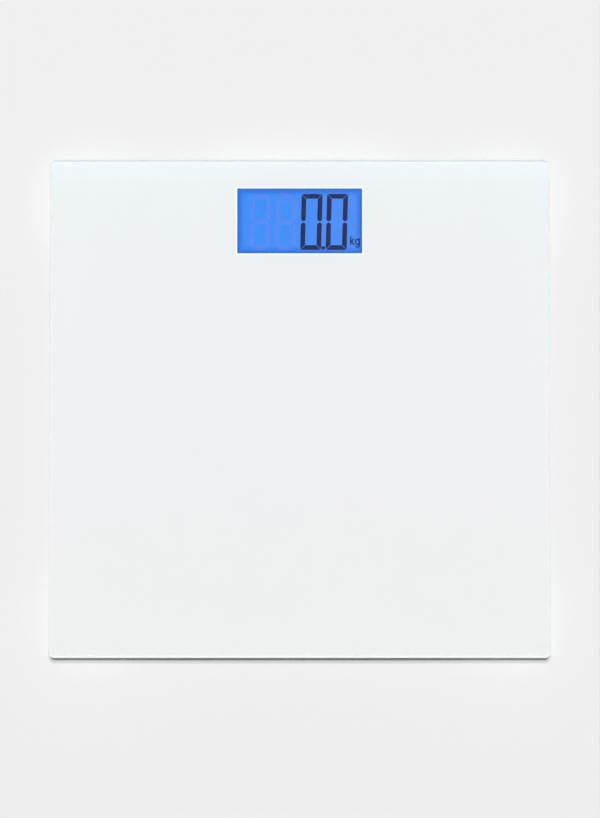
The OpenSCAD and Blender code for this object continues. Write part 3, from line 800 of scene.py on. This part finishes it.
# %% [markdown]
# ## Metal
# Sheet steel is rolled, and rolling leaves fine lines along one direction. Plating adds a colour of
# its own: nickel is warm, zinc is blue. Noise that is stretched along the rolling direction gives
# the lines, and a slow cloud of a second colour gives the plating.

# %% Rolled and plated metal
def plated(name, rgb, cast, roughness, stretch):
    metal = Finish(name)
    place = metal.place()
    lines = metal.spots(metal.stretched(place, *stretch), 1 * MM, detail=4)
    clouds = metal.spots(place, 9 * MM)
    tint = metal.blend(clouds, rgb, cast)
    tint = metal.blend(lines * 0.3, tint, shaded(rgb, 0.7))
    sockets = {"Base Color": tint, "Metallic": 1.0, "Roughness": lines * 0.25 + roughness,
               "Normal": metal.relief(lines, 0.004 * MM)}
    return metal.done(metal.shader(sockets))


# %% Three metals
METALS = {
    "cell_steel": ((0.62, 0.61, 0.58), (0.66, 0.62, 0.55), 0.25, (0.1, 6, 6)),
    "screw_steel": ((0.62, 0.64, 0.68), (0.70, 0.68, 0.60), 0.22, (3, 3, 0.3)),
    "nickel_plate": ((0.76, 0.72, 0.64), (0.80, 0.77, 0.70), 0.15, (5, 0.2, 0.2)),
}
for slot_name, recipe in METALS.items():
    FINISHES[slot_name] = plated(slot_name, *recipe)
print("metals:", ", ".join(METALS))

# %% [markdown]
# ## The two cells
# A dry cell is a steel can in a printed plastic sleeve. The sleeve stops short of both ends, so a
# ring of bare metal shows there. The sleeve is left without any words: a wide dark field, one
# copper-coloured band near the positive end, and a plus and a minus tell which way round it goes.

# %% A printed bar, from which the plus and the minus are made
PLUS_AT = 6.5 * MM
MINUS_AT = 38 * MM


def sleeve_mark(sleeve, along, across):
    """A printed bar 3 mm long and 0.8 mm wide, centred where both distances are 0."""
    length = 1 - sleeve.rise(abs(along), 1.45 * MM, 1.5 * MM)
    width = 1 - sleeve.rise(abs(across), 0.35 * MM, 0.4 * MM)
    return length * width


# %% Sleeve, band and bare ends, told apart by how far they lie from the nub
SLEEVE_FROM = 1.7 * MM
SLEEVE_TO = 43.4 * MM
BAND_TO = 11 * MM
PRINT_EDGE = 0.1 * MM


def cell_sleeve(name, tip_x, side, middle_y):
    sleeve = Finish(name)
    place = sleeve.place()
    across = sleeve.axis(place, "Y") - middle_y
    from_tip = tip_x * side - sleeve.axis(place, "X") * side
    past_start = sleeve.rise(from_tip, SLEEVE_FROM, SLEEVE_FROM + PRINT_EDGE)
    covered = past_start * (1 - sleeve.rise(from_tip, SLEEVE_TO, SLEEVE_TO + PRINT_EDGE))
    band = 1 - sleeve.rise(from_tip, BAND_TO, BAND_TO + PRINT_EDGE)
    clouds = sleeve.spots(place, 7 * MM)
    paint = sleeve.blend(band, (0.018, 0.026, 0.04), (0.52, 0.23, 0.09))
    plus_along = sleeve_mark(sleeve, from_tip - PLUS_AT, across)
    plus = plus_along.most(sleeve_mark(sleeve, across, from_tip - PLUS_AT))
    minus = sleeve_mark(sleeve, across, from_tip - MINUS_AT)
    paint = sleeve.blend(plus, paint, (0.03, 0.03, 0.04))
    paint = sleeve.blend(minus, paint, (0.75, 0.76, 0.78))
    tint = sleeve.blend(covered, (0.66, 0.65, 0.62), paint)
    bare = 1 - covered
    surface = sleeve.shader({"Base Color": tint, "Metallic": bare.most(band * 0.6),
                             "Roughness": clouds * 0.1 + bare * 0.1 + 0.18})
    return sleeve.done(surface)


# %% Dress both cells, which lie head to tail
rear_low, rear_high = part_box("battery_rear")
front_low, front_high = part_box("battery_front")
rear_middle = (rear_low.y + rear_high.y) / 2
front_middle = (front_low.y + front_high.y) / 2
dress("battery_rear", cell_sleeve("cell_sleeve_rear", rear_high.x, 1, rear_middle))
dress("battery_front", cell_sleeve("cell_sleeve_front", front_low.x, -1, front_middle))
print("cells lie at y =", [round(y / MM, 1) for y in (rear_middle, front_middle)], "mm")

# %% [markdown]
# ## The circuit board and its wires
# The board is green lacquer over copper. Copper under the lacquer shows as a paler green in blocks
# and strips with square corners, which cells measured along the axes give at once.

# %% Green lacquer over copper
def board_laminate():
    board = Finish("green_board")
    place = board.place()
    sockets = {"Vector": board.stretched(place, 1, 1, 0), "Scale": 1 / (5 * MM)}
    pours = board.node("ShaderNodeTexVoronoi", {"distance": "CHEBYCHEV"}, sockets)
    copper = board.rise(pours, 0.30, 0.34)
    weave = board.spots(place, 0.7 * MM)
    tint = board.blend(copper, (0.012, 0.13, 0.05), (0.03, 0.24, 0.09))
    return board.done(board.shader({"Base Color": tint, "Roughness": weave * 0.1 + 0.25,
                                    "Normal": board.relief(copper, 0.02 * MM)}))


# %% The connector, layered like a sliced cake
LAYERS_PER_METRE = 320.0


def connector_rubber():
    strip = Finish("layered_rubber")
    place = strip.place()
    stretched = strip.stretched(place, 1, 0, 0)
    sockets = {"Vector": stretched, "Scale": LAYERS_PER_METRE}
    layers = strip.node("ShaderNodeTexWave", {"wave_type": "BANDS"}, sockets)
    tint = strip.blend(layers, (0.05, 0.04, 0.04), (0.80, 0.46, 0.42))
    return strip.done(strip.shader({"Base Color": tint, "Roughness": layers * 0.1 + 0.55}))


# %% A skin of two near tones, for resin, ceramic, film and insulation
def speckled(name, dark, light, roughness, size, depth):
    """A hard or glossy skin whose colour wanders a little between two tones."""
    skin_finish = Finish(name)
    place = skin_finish.place()
    spots = skin_finish.spots(place, size, detail=3)
    tint = skin_finish.blend(spots, dark, light)
    sockets = {"Base Color": tint, "Roughness": spots * 0.15 + roughness,
               "Normal": skin_finish.relief(spots, depth)}
    return skin_finish.done(skin_finish.shader(sockets))


# %% Lit resin of the small lamps
def lamp_resin():
    resin = Finish("lamp_resin")
    place = resin.place()
    haze = resin.spots(place, 1 * MM)
    glow = resin.blend(haze, (0.15, 0.4, 1.6), (0.3, 0.6, 2.0))
    return resin.done(resin.shader({"Base Color": (0.3, 0.4, 0.6, 1), "Roughness": haze * 0.1 + 0.15,
                                    "Emission Color": glow, "Emission Strength": 1.0}))


# %% The rest of the finishes, by slot
FINISHES["board_laminate"] = board_laminate()
FINISHES["connector_rubber"] = connector_rubber()
FINISHES["lamp_resin"] = lamp_resin()
SKINS = {
    "reflector_film": ((0.86, 0.87, 0.88), (0.92, 0.93, 0.94), 0.3, 3 * MM, 0.01 * MM),
    "black_resin": ((0.012, 0.012, 0.012), (0.03, 0.03, 0.03), 0.15, 2.5 * MM, 0.08 * MM),
    "part_ceramic": ((0.10, 0.075, 0.05), (0.20, 0.16, 0.11), 0.45, 0.5 * MM, 0.02 * MM),
    "red_insulation": ((0.50, 0.015, 0.012), (0.62, 0.03, 0.02), 0.25, 2 * MM, 0.01 * MM),
    "black_insulation": ((0.015, 0.015, 0.016), (0.035, 0.035, 0.035), 0.25, 2 * MM, 0.01 * MM),
    "white_insulation": ((0.76, 0.76, 0.73), (0.86, 0.86, 0.84), 0.25, 2 * MM, 0.01 * MM),
}
for slot_name, recipe in SKINS.items():
    FINISHES[slot_name] = speckled(slot_name, *recipe)
print("finishes by slot:", len(FINISHES))

# %% [markdown]
# ### Dressing the parts
# Each part was packed with the name of its material. Looking the finish up by that name dresses
# every screw, wire and housing in one loop, and none can be forgotten.

# %% Every other part takes the finish of its slot
for name, part in NODES.items():
    if "dressed" not in part and name != "glass_platform":
        dress(name, FINISHES[SLOT_OF[name]])
print("dressed:", sum("dressed" in part for part in NODES.values()), "of", len(NODES))

# %% [markdown]
# ## Small things on the underside
# The side that nobody looks at tells the most about how a thing was made. A scale has a rating
# label stuck to its cover, a round sticker from the last test bench, a raised collar round the
# button so that a finger finds it, and a raised arrow on the battery door that shows which end to
# pull. All of them stand proud by a tenth or two, so that they catch light along one edge.

# %% Outlines for the small pieces
def round_ring(radius, x, y, z, steps=48):
    """Points round a circle."""
    turns = [math.tau * step / steps for step in range(steps)]
    return [(x + radius * math.cos(turn), y + radius * math.sin(turn), z) for turn in turns]


def moved(ring, x, y):
    """A ring of points, shifted along the ground."""
    return [(point[0] + x, point[1] + y, point[2]) for point in ring]


# %% Printed foil
ROW_STEP = 3.4 * MM


def label_foil(x, y, width, depth):
    """Brushed foil with a printed frame and empty ruled rows."""
    foil = Finish("label_foil")
    place = foil.place()
    brushed = foil.spots(foil.stretched(place, 0.3, 9, 1), 1 * MM, detail=3)
    from_left = abs(foil.axis(place, "X") - x)
    from_middle = abs(foil.axis(place, "Y") - y)
    to_edge = (from_left - width / 2).most(from_middle - depth / 2)
    past_frame = foil.rise(to_edge, -1.2 * MM, -1.15 * MM)
    frame_line = foil.rise(to_edge, -1.5 * MM, -1.45 * MM) * (1 - past_frame)
    rows = from_middle / ROW_STEP
    row = abs(rows.math("FRACT", rows, 0.0) - 0.5)
    row_line = (1 - foil.rise(row, 0.03, 0.05)) * (1 - foil.rise(to_edge, -3.2 * MM, -3.1 * MM))
    tint = foil.blend(brushed, (0.60, 0.61, 0.62), (0.72, 0.73, 0.74))
    tint = foil.blend(frame_line.most(row_line), tint, (0.05, 0.05, 0.06))
    return foil.done(foil.shader({"Base Color": tint, "Metallic": 0.5, "Roughness": brushed * 0.15 + 0.3}))


# %% The rating label
PROUD = 0.12 * MM
GLUE = 0.005 * MM
LABEL_WIDE = 44 * MM
LABEL_DEEP = 19 * MM
LABEL_CORNER = 1.5 * MM

cover_low, cover_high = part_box("lower_case")
stuck_heights = (cover_low.z - PROUD, cover_low.z - GLUE)
label_x = cover_low.x * 0.1 + cover_high.x * 0.3
label_y = cover_high.y - LABEL_DEEP * 0.95
label = [moved(corner_ring(LABEL_WIDE, LABEL_DEEP, LABEL_CORNER, 0, z, 6), label_x, label_y)
         for z in stuck_heights]
foil_finish = label_foil(label_x, label_y, LABEL_WIDE, LABEL_DEEP)
skin("rating_label", label, [foil_finish], "platform", "screw_steel")
print("label at", [round(v / MM, 1) for v in (label_x, label_y)], "mm")

# %% The test sticker beside it
STICKER_RADIUS = 4.5 * MM

paper = speckled("test_sticker_paper", (0.10, 0.42, 0.24), (0.13, 0.50, 0.29), 0.5, 1.2 * MM, 0.01 * MM)
sticker_x = label_x - LABEL_WIDE / 2 - STICKER_RADIUS * 2
sticker = [round_ring(STICKER_RADIUS, sticker_x, label_y, z) for z in stuck_heights]
skin("test_sticker", sticker, [paper], "platform", "case_plastic")
print("sticker at", [round(v / MM, 1) for v in (sticker_x, label_y)], "mm")

# %% The collar round the button
COLLAR_WIDE = 0.8 * MM
COLLAR_TALL = 0.25 * MM
COLLAR_GAP = 0.5 * MM

button_low, button_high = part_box("unit_button")
button_x = (button_low.x + button_high.x) / 2
button_y = (button_low.y + button_high.y) / 2
inner = (button_high.x - button_low.x) / 2 + COLLAR_GAP
outer = inner + COLLAR_WIDE
collar_profile = [(inner, 0), (inner + 0.1 * MM, -COLLAR_TALL), (outer - 0.15 * MM, -COLLAR_TALL), (outer, 0)]
collar = [round_ring(radius, button_x, button_y, cover_low.z + drop) for radius, drop in collar_profile]
skin("button_collar", collar, [FINISHES["case_plastic"]], "platform", "case_plastic", hole=True)
print("collar is", round(outer / MM * 2, 1), "mm across")

# %% The arrow on the battery door, which turns with it
ARROW = [(0, 0), (4, 4), (4, 1.4), (11, 1.4), (11, -1.4), (4, -1.4), (4, -4)]
ARROW_AHEAD = 9 * MM
ARROW_PROUD = 0.2 * MM
ARROW_ROOT = 0.01 * MM

door_low, door_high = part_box("battery_door")
tip_x = (door_low.x + door_high.x) / 2 - ARROW_AHEAD
door_y = (door_low.y + door_high.y) / 2
arrow_rings = [[(tip_x + x * MM, door_y + y * MM, z) for x, y in ARROW]
               for z in (door_low.z - ARROW_PROUD, door_low.z + ARROW_ROOT)]
pull_arrow = skin("door_arrow", arrow_rings, [FINISHES["case_plastic"]], "battery_door", "case_plastic")
arrow_edge = pull_arrow.modifiers.new("edge", "BEVEL")
arrow_edge.width = 0.1 * MM
arrow_edge.segments = 2
print("arrow tip at", [round(v / MM, 1) for v in (tip_x, door_y)], "mm")

# %% [markdown]
# ## Soft edges, part by part
# The width of a softened edge says how a part was made: three tenths of a millimetre on a moulding
# that a hand touches, a tenth on stamped steel, and a full round on a wire.

# %% Edge widths in millimetres
EDGES = {
    "upper_case": 0.3, "lower_case": 0.25, "battery_door": 0.2, "door_latch": 0.12, "unit_button": 0.15,
    "case_screws": 0.1, "board_screws": 0.08, "main_board": 0.08, "switch_body": 0.12, "switch_plunger": 0.12,
    "chip_parts": 0.1, "backlight_leds": 0.1, "gauge_coats": 0.25, "case_tape": 0.08, "foot_tapes": 0.08,
    "positive_contact": 0.06, "negative_contact": 0.06, "bridge_contact": 0.06,
    "battery_rear": 0.15, "battery_front": 0.15,
}
FOOT_EDGES = {"foot_housing": 0.3, "foot_cap": 0.25, "foot_pad": 0.2, "load_cell": 0.12, "wire_duct": 0.2}
for name, width in EDGES.items():
    soften(name, width * MM)
for name in NODES:
    for kind, width in FOOT_EDGES.items():
        if name.startswith(kind):
            soften(name, width * MM)
    if name.startswith(("cell_wires", "battery_lead", "negative_spring", "bridge_spring")):
        round_off(name)
print("softened:", sum(bool(part.modifiers) for part in NODES.values()))
